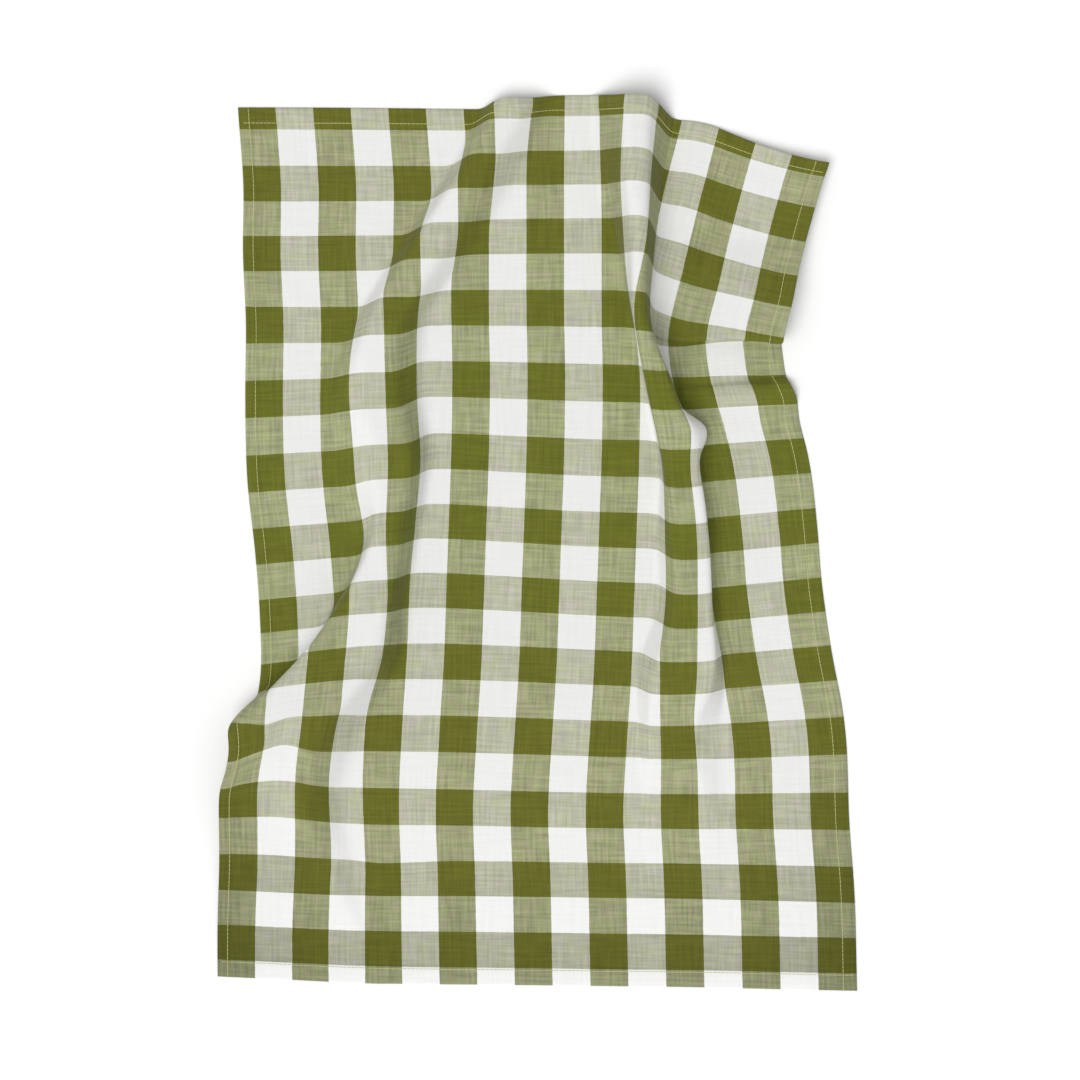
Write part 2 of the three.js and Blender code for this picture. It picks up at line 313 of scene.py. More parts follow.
class ClothSizes(bpy.types.PropertyGroup):
    """Sizes of the cloth, its hems and its threads."""

    thickness: bpy.props.FloatProperty(
        name="Thickness", description="Thickness of the woven cloth",
        default=0.0007, min=0.0002, unit="LENGTH", precision=5,
    )
    hem_thickness: bpy.props.FloatProperty(
        name="Hem Thickness", description="Thickness of the turned hem",
        default=0.0016, min=0.0004, unit="LENGTH", precision=5,
    )
    left_hem: bpy.props.FloatProperty(
        name="Left Hem", description="Distance of the left hem's stitching from the edge",
        default=0.0080, min=0.003, unit="LENGTH", precision=5,
    )
    right_hem: bpy.props.FloatProperty(
        name="Right Hem", description="Distance of the right hem's stitching from the edge",
        default=0.0105, min=0.003, unit="LENGTH", precision=5,
    )
    end_hem: bpy.props.FloatProperty(
        name="End Hems", description="Distance of the end hems' stitching from the edge",
        default=0.0120, min=0.003, unit="LENGTH", precision=5,
    )
    yarn_pitch: bpy.props.FloatProperty(
        name="Yarn Pitch", description="Distance between neighbouring yarns of the weave",
        default=0.0006, min=0.0002, unit="LENGTH", precision=5,
    )
    stitch_pitch: bpy.props.FloatProperty(
        name="Stitch Pitch", description="Distance from one stitch to the next",
        default=0.0032, min=0.001, unit="LENGTH", precision=5,
    )
    stitch_length: bpy.props.FloatProperty(
        name="Stitch Length", description="Visible length of one stitch",
        default=0.0031, min=0.0005, unit="LENGTH", precision=5,
    )
    thread_width: bpy.props.FloatProperty(
        name="Thread Width", description="Diameter of the sewing thread",
        default=0.0005, min=0.0001, unit="LENGTH", precision=5,
    )


class ClothColours(bpy.types.PropertyGroup):
    """Colours of the check and of the sewing thread."""

    both_green: bpy.props.FloatVectorProperty(
        name="Green on Green", description="Checks where green warp crosses green weft",
        subtype="COLOR", size=3, default=(0.130, 0.136, 0.017), min=0, max=1,
    )
    green_warp: bpy.props.FloatVectorProperty(
        name="Green Warp", description="Checks where green warp crosses white weft",
        subtype="COLOR", size=3, default=(0.334, 0.344, 0.197), min=0, max=1,
    )
    green_weft: bpy.props.FloatVectorProperty(
        name="Green Weft", description="Checks where white warp crosses green weft",
        subtype="COLOR", size=3, default=(0.466, 0.467, 0.367), min=0, max=1,
    )
    both_white: bpy.props.FloatVectorProperty(
        name="White on White", description="Checks where white warp crosses white weft",
        subtype="COLOR", size=3, default=(0.80, 0.80, 0.787), min=0, max=1,
    )
    thread: bpy.props.FloatVectorProperty(
        name="Sewing Thread", description="Thread of the hems",
        subtype="COLOR", size=3, default=(0.68, 0.70, 0.32), min=0, max=1,
    )


class StudioSettings(bpy.types.PropertyGroup):
    """Camera, lights and floor."""

    camera_height: bpy.props.FloatProperty(
        name="Camera Height", description="Height of the camera above the table",
        default=2.0, min=0.5, unit="LENGTH",
    )
    view_width: bpy.props.FloatProperty(
        name="View Width", description="Width of the table that the camera sees",
        default=0.8392, min=0.1, unit="LENGTH",
    )
    view_centre: bpy.props.FloatVectorProperty(
        name="View Centre", description="Point of the table under the camera",
        size=2, default=(0.0022, 0.0024), unit="LENGTH", precision=4,
    )
    sky_strength: bpy.props.FloatProperty(
        name="Sky Strength", description="Strength of the light from all round",
        default=0.52, min=0,
    )
    key_strength: bpy.props.FloatProperty(
        name="Key Strength", description="Strength of the soft key light",
        default=2.05, min=0,
    )
    key_angle: bpy.props.FloatProperty(
        name="Key Softness", description="Apparent width of the key light",
        default=np.radians(40), min=0, subtype="ANGLE",
    )
    floor_size: bpy.props.FloatProperty(
        name="Floor Size", description="Side of the square floor",
        default=30.0, min=1, unit="LENGTH",
    )
    floor_colour: bpy.props.FloatVectorProperty(
        name="Floor Colour", description="Colour of the pale floor",
        subtype="COLOR", size=3, default=(0.96, 0.96, 0.96), min=0, max=1,
    )


def ease(value):
    """0 before 0, 1 after 1, and an even S between: three t squared less two t cubed."""
    t = np.clip(value, 0, 1)
    return t * t * (3 - 2 * t)


def bend_after(distance, soft):
    """0 before the bend, the plain distance after it, and a parabola over the soft width between."""
    start = (distance + soft) ** 2 / (4 * soft)
    return np.where(distance < -soft, 0, np.where(distance > soft, distance, start))


def through_sections(values, along):
    """A Catmull-Rom curve through the values of the sections, at places along the cloth."""
    last = len(values) - 1
    place = (along - FIRST_SECTION) / SECTION_PITCH
    k = np.clip(np.floor(place), 0, last - 1).astype(int)
    t = place - k
    before = 2 * values[0] - values[1]
    after = 2 * values[-1] - values[-2]
    run = np.concatenate(([before], values, [after]))
    a, b, c, d = run[k], run[k + 1], run[k + 2], run[k + 3]
    even = 2 * b + (c - a) * t
    curved = (2 * a - 5 * b + 4 * c - d) * t**2 + (3 * b - a - 3 * c + d) * t**3
    return (even + curved) / 2


def section_at(table, along):
    """All columns of a table of sections, each on its curve at places along the cloth."""
    columns = {name: through_sections(values, along) for name, values in table.items()}
    return SimpleNamespace(**columns)


def flank(distance, height, steep_degrees, arc):
    """A flank at a distance along the cloth from its middle: cloth taken up, height climbed, and
    cloth taken up in all. Its slope grows evenly over the first arc, holds, and dies out evenly
    over the last, so run and rise are the sines and versed sines of the slope over each arc."""
    climb = np.maximum(height, LEAST_HEIGHT)
    steep = np.radians(np.maximum(steep_degrees, LEAST_STEEP))
    straight = 1 - 2 * arc
    full_run = 2 * arc * np.sin(steep) / steep + straight * np.cos(steep)
    full_rise = 2 * arc * (1 - np.cos(steep)) / steep + straight * np.sin(steep)
    cloth = climb / full_rise
    share = np.clip(distance / cloth + 0.5, 0, 1)
    from_end = np.minimum(share, 1 - share)
    turned = steep * np.minimum(from_end, arc) / arc
    past_arc = np.maximum(from_end - arc, 0)
    run = arc * np.sin(turned) / steep + past_arc * np.cos(steep)
    rise = arc * (1 - np.cos(turned)) / steep + past_arc * np.sin(steep)
    run = np.where(share > 0.5, full_run - run, run)
    rise = np.where(share > 0.5, full_rise - rise, rise)
    return (share - run) * cloth, rise * cloth, (1 - full_run) * cloth


def slid(distance, height):
    """How far the cloth beyond a flank has slid along the fold, from 0 to 1."""
    half = SLIDE_MARGIN + SLIDE_PER_HEIGHT * np.maximum(height, 0)
    return ease(distance / (2 * half) + 0.5)


def left_of_middle(across, along):
    """Reach from the middle, and x, y, z of cloth left of it: the reach is the flat distance less
    what both flanks have taken up, and the cloth beyond the ridge turns by the section's tilt."""
    ridge = section_at(LEFT_RIDGE, along)
    tilt = np.radians(ridge.tilt)
    to_inner = ridge.inner * COLUMN - across
    to_outer = ridge.outer * COLUMN - across
    inner_taken, inner_risen, inner_all = flank(to_inner, ridge.height, ridge.inner_steep, LEFT_ARC)
    outer_taken, outer_risen, _ = flank(to_outer, ridge.height, ridge.outer_steep, LEFT_ARC)
    reach = MIDDLE_COLUMN * COLUMN - across - inner_taken - outer_taken
    pivot = (MIDDLE_COLUMN - ridge.inner) * COLUMN - inner_all / 2
    bend = bend_after(reach - pivot, LEFT_BEND)
    inner_slide = ridge.inner_slide * slid(to_inner, ridge.height)
    outer_slide = ridge.outer_slide * slid(to_outer, ridge.height)
    x = -reach + (1 - np.cos(tilt)) * bend
    y = -np.sin(tilt) * bend - inner_slide - outer_slide
    return -reach, x, y, inner_risen - outer_risen


def right_of_middle(across, along):
    """Reach from the middle, and x, y, z of cloth right of it, worked out as on the left."""
    ridge = section_at(RIGHT_RIDGE, along)
    tilt = np.radians(ridge.tilt)
    to_rise = across - ridge.rise * COLUMN
    to_fall = across - ridge.fall * COLUMN
    rise_taken, rise_risen, rise_all = flank(to_rise, ridge.height, ridge.rise_steep, RIGHT_ARC)
    fall_taken, fall_risen, _ = flank(to_fall, ridge.height, ridge.fall_steep, RIGHT_ARC)
    reach = across - MIDDLE_COLUMN * COLUMN - rise_taken - fall_taken
    pivot = ((ridge.rise + ridge.fall) / 2 - MIDDLE_COLUMN) * COLUMN - rise_all
    bend = bend_after(reach - pivot, RIGHT_BEND)
    rise_slide = ridge.rise_slide * slid(to_rise, ridge.height)
    fall_slide = ridge.fall_slide * slid(to_fall, ridge.height)
    x = reach - (1 - np.cos(tilt)) * bend
    y = np.sin(tilt) * bend - rise_slide - fall_slide
    return reach, x, y, rise_risen - fall_risen


def tuck(across, along):
    """What the tuck adds to x, y and z: flanks that run across the cloth on a slant and grow from
    the tuck's tip to the right edge, quickly and then slowly, and a small turn of the corner."""
    from_tip = bend_after(across / COLUMN - TUCK_TIP, TUCK_SOFT) / (TUCK_FULL - TUCK_TIP)
    share = 1 - np.maximum(1 - from_tip, 0) ** TUCK_FULLNESS
    slant = TUCK_SLANT * (across - CLOTH_WIDTH)
    turned = ease((along - TUCK_TURN_FROM) / TUCK_TURN_LENGTH)
    x = -turned * TUCK_TURN * np.maximum(across - TUCK_TIP * COLUMN, 0)
    y = np.zeros_like(x)
    z = np.zeros_like(x)
    for middle, height, steep, climb in zip(*TUCK.values()):
        taken, risen, _ = flank(along - middle - slant, height * share, steep, TUCK_ARC)
        y = y - taken
        z = z + climb * risen
    return x, y, z


def dragged(across, along, drags):
    """What a table of drags adds to x and y: each is a bell curve of the distances across and along,
    every one measured in the drag's reach on that side."""
    x = np.zeros_like(across)
    y = np.zeros_like(across)
    for middle, place, left, right, near, far, drag_x, drag_y in zip(*drags.values()):
        aside = (across - middle) / np.where(across < middle, left, right)
        ahead = (along - place) / np.where(along < place, near, far)
        share = np.exp(-(aside**2) - ahead**2)
        x = x + drag_x * share
        y = y + drag_y * share
    return x, y


def crease_height(across, along):
    """Sum of the creases: each is a bell curve of the distance from its bowed line, which fades
    evenly over the line's two ends."""
    total = np.zeros_like(across)
    for x0, y0, x1, y1, bow, width, height in zip(*CREASES.values()):
        dx, dy = x1 - x0, y1 - y0
        length = np.hypot(dx, dy)
        t = ((across - x0) * dx + (along - y0) * dy) / length**2
        side = ((along - y0) * dx - (across - x0) * dy) / length
        inside = np.clip(t, 0, 1)
        off_line = side - bow * 4 * inside * (1 - inside)
        fade = ease(3 * t) * ease(3 * (1 - t))
        total = total + height * fade * np.exp(-((off_line / width) ** 2))
    return total


def underside(across, along):
    """Points of the cloth's underside in millimetres: the left or right half's place, the turn and
    the forward shift of the middle, the tuck, the drags and the creases added up, and never below
    the table."""
    is_left = across < MIDDLE_COLUMN * COLUMN
    left = left_of_middle(across, along)
    right = right_of_middle(across, along)
    reach, side_x, side_y, side_z = (np.where(is_left, a, b) for a, b in zip(left, right))
    middle = section_at(MIDDLE, along)
    turned = np.tan(np.radians(middle.tilt)) * MIDDLE_REACH * np.tanh(reach / MIDDLE_REACH)
    forward = middle.forward * np.exp(-((reach / FORWARD_REACH) ** 2))
    flat_y = MIDDLE_START + LENGTH_KEPT * (along - FIRST_SECTION)
    tuck_x, tuck_y, tuck_z = tuck(across, along)
    drag_x, drag_y = dragged(across, along, DRAGS)
    small_x, small_y = dragged(across, along, SMALL_DRAGS)
    x = middle.shift + side_x + tuck_x + drag_x + small_x
    y = flat_y + turned + forward + side_y + tuck_y + drag_y + small_y
    z = side_z + tuck_z + crease_height(across, along)
    return np.stack((x, y, np.maximum(z, 0)), -1)


def normal_at(across, along):
    """The way the upper face looks: the cross product of the two central differences there."""
    reach = 0.5
    over = underside(across + reach, along) - underside(across - reach, along)
    up = underside(across, along + reach) - underside(across, along - reach)
    normal = np.cross(over, up)
    return normal / np.linalg.norm(normal, axis=-1, keepdims=True)


def hem_distances(across, along, sizes):
    """Distance from each edge beside that hem's stitching, for left, right, near and far."""
    return (
        (across, sizes.left_hem / MM),
        (CLOTH_WIDTH - across, sizes.right_hem / MM),
        (along, sizes.end_hem / MM),
        (CLOTH_LENGTH - along, sizes.end_hem / MM),
    )


def thickness_at(across, along, sizes):
    """Thickness in millimetres: the hem's up to just past its stitching, then the cloth's by an even
    S, with a bell-shaped groove along the stitching and a quarter-round at the turned edge."""
    past_stitch, step, groove, groove_depth, edge_round = 0.6, 1.4, 0.8, 0.3, 1.4
    cloth = sizes.thickness / MM
    hem = sizes.hem_thickness / MM
    extra = np.zeros_like(across)
    cut = np.zeros_like(across)
    edge = np.full_like(across, edge_round)
    for distance, stitch in hem_distances(across, along, sizes):
        extra = np.maximum(extra, 1 - ease((distance - stitch - past_stitch) / step))
        cut = np.maximum(cut, np.exp(-(((distance - stitch) / groove) ** 2)))
        edge = np.minimum(edge, distance)
    rounded = np.sqrt(1 - (1 - np.clip(edge / edge_round, 0, 1)) ** 2)
    full = cloth + (hem - cloth) * extra - groove_depth * cut
    return full * (0.45 + 0.55 * rounded)


def placed(points):
    """Millimetres of the fold tables to metres of the shared frame: the cloth's box goes over the
    middle of the solid's box."""
    coarse_across, coarse_along = np.meshgrid(
        np.linspace(0, CLOTH_WIDTH, 101), np.linspace(0, CLOTH_LENGTH, 141), indexing="ij"
    )
    coarse = underside(coarse_across, coarse_along).reshape(-1, 3)
    centre = (coarse.min(0) + coarse.max(0)) / 2 * MM
    solid_centre = (np.array(SOLID_LOW) + np.array(SOLID_HIGH)) / 2
    offset = solid_centre - centre
    offset[2] = SOLID_LOW[2]
    return points * MM + offset


def grid_lines(stretches):
    """Even lines within each stretch, as near to its step as a whole count allows."""
    lines = [0.0]
    for to, step in zip(*stretches.values()):
        count = max(1, round((to - lines[-1]) / step))
        lines.extend(np.linspace(lines[-1], to, count + 1)[1:])
    return np.array(lines)


def quads(a, b, c, d):
    """Faces from four arrays of corner indices."""
    return np.stack((a, b, c, d), -1).reshape(-1, 4)


def closed_sheet_faces(wide, long):
    """Faces of a closed sheet on a grid: an upper face, the underside turned over, and four rims."""
    under = np.arange(wide * long).reshape(wide, long)
    over = under + wide * long
    top = quads(over[:-1, :-1], over[1:, :-1], over[1:, 1:], over[:-1, 1:])
    low = quads(under[:-1, :-1], under[:-1, 1:], under[1:, 1:], under[1:, :-1])
    near = quads(under[:-1, 0], under[1:, 0], over[1:, 0], over[:-1, 0])
    far = quads(under[1:, -1], under[:-1, -1], over[:-1, -1], over[1:, -1])
    left = quads(under[0, 1:], under[0, :-1], over[0, :-1], over[0, 1:])
    right = quads(under[-1, :-1], under[-1, 1:], over[-1, 1:], over[-1, :-1])
    return np.concatenate((top, low, near, far, left, right))


def new_mesh_object(name, points, faces, flat_places):
    """A smooth mesh object from arrays of points, quads or triangles, and a UV place per point."""
    mesh = bpy.data.meshes.new(name)
    corners = faces.shape[1]
    mesh.vertices.add(len(points))
    mesh.vertices.foreach_set("co", points.astype(np.float32).ravel())
    mesh.loops.add(faces.size)
    mesh.loops.foreach_set("vertex_index", faces.astype(np.int32).ravel())
    mesh.polygons.add(len(faces))
    mesh.polygons.foreach_set("loop_start", np.arange(0, faces.size, corners, dtype=np.int32))
    layer = mesh.uv_layers.new(name=FLAT_PLACE)
    layer.data.foreach_set("uv", flat_places[faces.ravel()].astype(np.float32).ravel())
    mesh.update(calc_edges=True)
    if mesh.validate():
        raise RuntimeError(f"the mesh of {name} had faults")
    mesh.shade_smooth()
    piece = bpy.data.objects.new(name, mesh)
    bpy.context.scene.collection.objects.link(piece)
    return piece


def opaque(colour):
    """A colour with full alpha."""
    return (*colour, 1.0)


class NodeMaker:
    """Adds nodes to a material from left to right and links them."""

    def __init__(self, material):
        material.use_nodes = True
        self.tree = material.node_tree
        self.tree.nodes.clear()
        self.count = 0

    def add(self, kind, inputs=None, **settings):
        """A node with its settings, and its inputs set to values or linked to sockets."""
        made = self.tree.nodes.new(kind)
        made.location = (220 * (self.count // 4), -260 * (self.count % 4))
        self.count += 1
        for name, value in settings.items():
            setattr(made, name, value)
        for name, value in (inputs or {}).items():
            if isinstance(value, bpy.types.NodeSocket):
                self.tree.links.new(value, made.inputs[name])
            else:
                made.inputs[name].default_value = value
        return made

    def math(self, operation, a, b=0.0):
        """A math node's result."""
        return self.add("ShaderNodeMath", {0: a, 1: b}, operation=operation).outputs[0]

    def mix(self, factor, a, b):
        """A colour that goes from a to b with the factor."""
        made = self.add("ShaderNodeMix", {0: factor, 6: a, 7: b}, data_type="RGBA")
        return made.outputs[2]

    def times(self, a, b):
        """One colour multiplied by another."""
        inputs = {0: 1.0, 6: a, 7: b}
        made = self.add("ShaderNodeMix", inputs, data_type="RGBA", blend_type="MULTIPLY")
        return made.outputs[2]

    def two_tone(self, factor, colour, swing):
        """A colour that goes from darker to lighter by its swing, with the factor."""
        darker = tuple(part * (1 - swing) for part in colour)
        lighter = tuple(part * (1 + swing) for part in colour)
        return self.mix(factor, opaque(darker), opaque(lighter))

    def grey(self, value):
        """A value as a grey colour."""
        return self.add("ShaderNodeCombineXYZ", {0: value, 1: value, 2: value}).outputs[0]

    def spread(self, value, low, high, value_low=0.0, value_high=1.0):
        """A value between its own two bounds, spread between low and high."""
        inputs = {0: value, 1: value_low, 2: value_high, 3: low, 4: high}
        return self.add("ShaderNodeMapRange", inputs).outputs[0]

    def noise(self, across, along, scale_across, scale_along, detail=2.0):
        """Noise of the flat place, with its own scale each way, as a value about one half."""
        x = self.math("MULTIPLY", across, scale_across)
        y = self.math("MULTIPLY", along, scale_along)
        place = self.add("ShaderNodeCombineXYZ", {0: x, 1: y}).outputs[0]
        inputs = {"Vector": place, "Scale": 1.0, "Detail": detail, "Roughness": 0.55}
        return self.add("ShaderNodeTexNoise", inputs).outputs[0]


def check_bands(make, across, along):
    """Where the warp and where the weft is green: every other band by the flat place, with edges that
    wander a little. The last column runs on to the cloth's edge."""
    wander = make.noise(across, along, BAND_SWAY_SCALE, BAND_SWAY_SCALE)
    sway = make.spread(wander, -BAND_SWAY, BAND_SWAY)
    warp_from = make.math("MAXIMUM", make.math("ADD", across, sway), 0.0)
    warp_kept = make.math("MINIMUM", warp_from, (COLUMNS - 0.01) * COLUMN * MM)
    warp_place = make.math("DIVIDE", warp_kept, 2 * COLUMN * MM)
    warp_green = make.math("LESS_THAN", make.math("FRACT", warp_place), 0.5)
    weft_from = make.math("SUBTRACT", make.math("ADD", along, sway), FIRST_ROW * MM)
    weft_place = make.math("DIVIDE", weft_from, 2 * ROW * MM)
    weft_green = make.math("LESS_THAN", make.math("FRACT", weft_place), 0.5)
    return warp_green, weft_green


def yarn_streaks(make, across, along):
    """Noise drawn out along the warp and noise drawn out along the weft, added up."""
    warp_streak = make.noise(across, along, STREAK_FINE, STREAK_LONG)
    weft_streak = make.noise(across, along, STREAK_LONG, STREAK_FINE)
    return make.math("ADD", warp_streak, weft_streak)


def check_tints(make, across, along):
    """Tints of the dark, green warp, green weft and white checks: patches that lean to leaf or sand,
    green checks darker and white lighter towards the near edge, and leaf green half way along. With
    the fourth power of the distance from the middle, the darkening reaches further along the sides,
    and the lightening less far."""
    half = CLOTH_WIDTH * MM / 2
    beside = make.math("DIVIDE", make.math("SUBTRACT", across, half), half)
    at_sides = make.math("POWER", make.math("ABSOLUTE", beside), 4.0)
    side_reach = make.math("MULTIPLY", at_sides, SIDE_REACH)
    darkening_place = make.math("SUBTRACT", along, side_reach)
    lightening_place = make.math("ADD", along, side_reach)
    # Green checks darker and white lighter towards the near edge, by the place along the cloth
    near_darkening = make.spread(darkening_place, NEAR_DARKENING, 1.0, *NEAR_DARKENING_STRETCH)
    near_lightening = make.spread(lightening_place, NEAR_LIGHTENING, 1.0, *NEAR_LIGHTENING_STRETCH)

    patches = make.noise(across, along, MOTTLE_SCALE, MOTTLE_SCALE, 3.0)
    mottle = make.spread(patches, 0.0, 1.0, *MOTTLE_RANGE)
    green_tint = make.times(make.mix(mottle, LEAF_TINT, SAND_TINT), make.grey(near_darkening))

    comes = make.spread(along, 0.0, 1.0, *LEAFY_FROM)
    goes = make.spread(along, 1.0, 0.0, *LEAFY_TO)
    leafy = make.math("MINIMUM", comes, goes)
    warp_leafy = make.math("MULTIPLY", leafy, LEAFY_WARP_SHARE)
    dark = make.times(green_tint, make.mix(leafy, PLAIN_TINT, LEAFY_TINT))
    warp = make.times(green_tint, make.mix(warp_leafy, PLAIN_TINT, LEAFY_TINT))
    return dark, warp, green_tint, make.grey(near_lightening)


def plain_weave(make, across, along, pitch):
    """Height of the yarn on top, from 0 to 1: warp and weft take turns, each a half sine across."""
    warp_yarn = make.math("DIVIDE", across, pitch)
    weft_yarn = make.math("DIVIDE", along, pitch)
    parity = make.math("ADD", make.math("FLOOR", warp_yarn), make.math("FLOOR", weft_yarn))
    warp_over = make.math("FRACT", make.math("MULTIPLY", parity, 0.5))
    warp_round = make.math("SINE", make.math("MULTIPLY", make.math("FRACT", warp_yarn), np.pi))
    weft_round = make.math("SINE", make.math("MULTIPLY", make.math("FRACT", weft_yarn), np.pi))
    over_share = make.math("MULTIPLY", warp_over, 2.0)
    under_share = make.math("SUBTRACT", 1.0, over_share)
    warp_height = make.math("MULTIPLY", over_share, warp_round)
    return make.math("ADD", warp_height, make.math("MULTIPLY", under_share, weft_round))


def gingham_material(sizes, colours):
    """Woven check: four colours where green and white bands of warp and weft cross, each with its
    tint and with streaks along both yarns, with painted shade and relief from a plain weave."""
    material = bpy.data.materials.new("gingham_cotton")
    make = NodeMaker(material)
    flat = make.add("ShaderNodeUVMap", uv_map=FLAT_PLACE).outputs[0]
    split = make.add("ShaderNodeSeparateXYZ", {0: flat})
    across, along = split.outputs[0], split.outputs[1]

    warp_green, weft_green = check_bands(make, across, along)
    streaks = yarn_streaks(make, across, along)
    level = make.spread(streaks, 0.0, 1.0, *STREAK_RANGE)
    dark_tint, warp_tint, weft_tint, white_tint = check_tints(make, across, along)
    dark = make.times(make.two_tone(level, colours.both_green, DARK_SWING), dark_tint)
    warp_mix = make.times(make.two_tone(level, colours.green_warp, WARP_SWING), warp_tint)
    weft_mix = make.times(make.two_tone(level, colours.green_weft, WEFT_SWING), weft_tint)
    white = make.times(make.two_tone(level, colours.both_white, WHITE_SWING), white_tint)
    white_row = make.mix(warp_green, white, warp_mix)
    green_row = make.mix(warp_green, weft_mix, dark)
    check = make.mix(weft_green, white_row, green_row)

    weave = plain_weave(make, across, along, sizes.yarn_pitch)
    # Painted shade: the yarns' sides darker than their tops
    coloured = make.times(check, make.grey(make.spread(weave, *YARN_SHADE)))
    relief = make.math("ADD", weave, make.math("MULTIPLY", streaks, STREAK_RELIEF))
    bump = make.add(
        "ShaderNodeBump", {"Strength": 0.35, "Distance": 0.00015, "Height": relief}
    ).outputs[0]
    surface = make.add(
        "ShaderNodeBsdfPrincipled",
        {
            "Base Color": coloured,
            "Roughness": 0.92,
            "Specular IOR Level": 0.18,
            "Sheen Weight": 0.12,
            "Sheen Roughness": 0.45,
            "Normal": bump,
        },
    )
    make.add("ShaderNodeOutputMaterial", {"Surface": surface.outputs[0]})
    return material


def thread_material(colours):
    """Twisted sewing thread: slanting plies by the place along and round each stitch, with painted
    shade in the grooves between them.
    """
    material = bpy.data.materials.new("sewing_thread")
    make = NodeMaker(material)
    flat = make.add("ShaderNodeUVMap", uv_map=FLAT_PLACE).outputs[0]
    split = make.add("ShaderNodeSeparateXYZ", {0: flat})
    slant = make.math("ADD", make.math("MULTIPLY", split.outputs[0], PLY_TURNS), split.outputs[1])
    ply = make.math("ABSOLUTE", make.math("SINE", make.math("MULTIPLY", slant, np.pi)))
    # Painted shade in the grooves between the plies
    shade = make.spread(ply, *PLY_SHADE)
    coloured = make.times(opaque(colours.thread), make.grey(shade))
    bump = make.add(
        "ShaderNodeBump", {"Strength": 0.5, "Distance": 0.00008, "Height": ply}
    ).outputs[0]
    surface = make.add(
        "ShaderNodeBsdfPrincipled",
        {
            "Base Color": coloured,
            "Roughness": 0.7,
            "Specular IOR Level": 0.3,
            "Sheen Weight": 0.1,
            "Normal": bump,
        },
    )
    make.add("ShaderNodeOutputMaterial", {"Surface": surface.outputs[0]})
    return material


def floor_material(settings):
    """Pale matt paper with a barely seen grain."""
    material = bpy.data.materials.new("pale_paper")
    make = NodeMaker(material)
    place = make.add("ShaderNodeTexCoord").outputs["Object"]
    grain = make.add("ShaderNodeTexNoise", {"Vector": place, "Scale": 900.0}).outputs[0]
    bump = make.add(
        "ShaderNodeBump", {"Strength": 0.02, "Distance": 0.0001, "Height": grain}
    ).outputs[0]
    surface = make.add(
        "ShaderNodeBsdfPrincipled",
        {
            "Base Color": opaque(settings.floor_colour),
            "Roughness": 1.0,
            "Specular IOR Level": 0.0,
            "Normal": bump,
        },
    )
    make.add("ShaderNodeOutputMaterial", {"Surface": surface.outputs[0]})
    return material


def cloth_piece(sizes):
    """The towel: its upper face is the underside moved along the normal by the thickness."""
    across, along = np.meshgrid(
        grid_lines(ACROSS_STRETCHES), grid_lines(ALONG_STRETCHES), indexing="ij"
    )
    lower = underside(across, along)
    thickness = thickness_at(across, along, sizes)
    upper = lower + normal_at(across, along) * thickness[..., None]
    points = np.concatenate((lower.reshape(-1, 3), upper.reshape(-1, 3)))
    flat = np.stack((across, along), -1).reshape(-1, 2) * MM
    faces = closed_sheet_faces(*across.shape)
    return new_mesh_object("towel_cloth", placed(points), faces, np.concatenate((flat, flat)))


def stitch_places(first, last, edge, pitch):
    """Middles of one line of stitches: even between the two lines that cross it, with a stitch on
    each crossing, and at the same step on towards both edges. Also which ones are crossings."""
    clear = 0.7 * pitch
    count = round((last - first) / pitch)
    step = (last - first) / count
    before = int((first - clear) // step)
    after = int((edge - last - clear) // step)
    number = np.arange(-before, count + after + 1)
    return first + step * number, (number == 0) | (number == count)


def hem_lines(sizes):
    """Flat places of the stitches' middles along the four hems, the flat way each one runs, and
    which stitches of the end hems lie over a side hem's stitch."""
    pitch = sizes.stitch_pitch / MM
    left = sizes.left_hem / MM
    right = CLOTH_WIDTH - sizes.right_hem / MM
    near = sizes.end_hem / MM
    far = CLOTH_LENGTH - sizes.end_hem / MM
    along, _ = stitch_places(near, far, CLOTH_LENGTH, pitch)
    across, crossing = stitch_places(left, right, CLOTH_WIDTH, pitch)
    under = np.zeros(len(along), bool)
    lines = [
        (np.full_like(along, left), along, (0, 1), under),
        (np.full_like(along, right), along, (0, 1), under),
        (across, np.full_like(across, near), (1, 0), crossing),
        (across, np.full_like(across, far), (1, 0), crossing),
    ]
    middles = np.concatenate([np.stack((x, y), -1) for x, y, _, _ in lines])
    ways = np.concatenate([np.tile(way, (len(x), 1)) for x, _, way, _ in lines])
    return middles, ways.astype(float), np.concatenate([over for *_, over in lines])


def stitch_points(sizes):
    """Rings of each stitch: the stitch is a bent capsule whose middle line goes straight from one
    needle hole to the next, arches above the cloth by the cube root of a half sine, and dips into
    both holes. One that lies over another stitch arches higher, by a half sine."""
    middles, ways, over = hem_lines(sizes)
    half = sizes.stitch_length / MM / 2
    radius = sizes.thread_width / MM / 2
    flat = middles[:, None, :] + ways[:, None, :] * (STITCH_RINGS * half)[None, :, None]
    across, along = flat[..., 0], flat[..., 1]
    normal = normal_at(across, along)
    base = underside(across, along) + normal * thickness_at(across, along, sizes)[..., None]
    arch = np.cos(STITCH_RINGS * np.pi / 2)
    lift = radius * (STITCH_ARCH * np.cbrt(arch) - STITCH_DIP + STITCH_OVER * arch * over[:, None])
    line = base + normal * lift[..., None]
    tangent = line[:, -1] - line[:, 0]
    tangent = tangent / np.linalg.norm(tangent, axis=-1, keepdims=True)
    beside = np.cross(tangent[:, None, :], normal)
    angle = np.linspace(0, 2 * np.pi, STITCH_SIDES, endpoint=False)
    girth = radius * np.sqrt(np.clip(1 - STITCH_RINGS**8, 0.0025, 1))
    out = (
        np.cos(angle)[None, None, :, None] * beside[:, :, None, :]
        + np.sin(angle)[None, None, :, None] * normal[:, :, None, :]
    )
    return line[:, :, None, :] + out * girth[None, :, None, None]


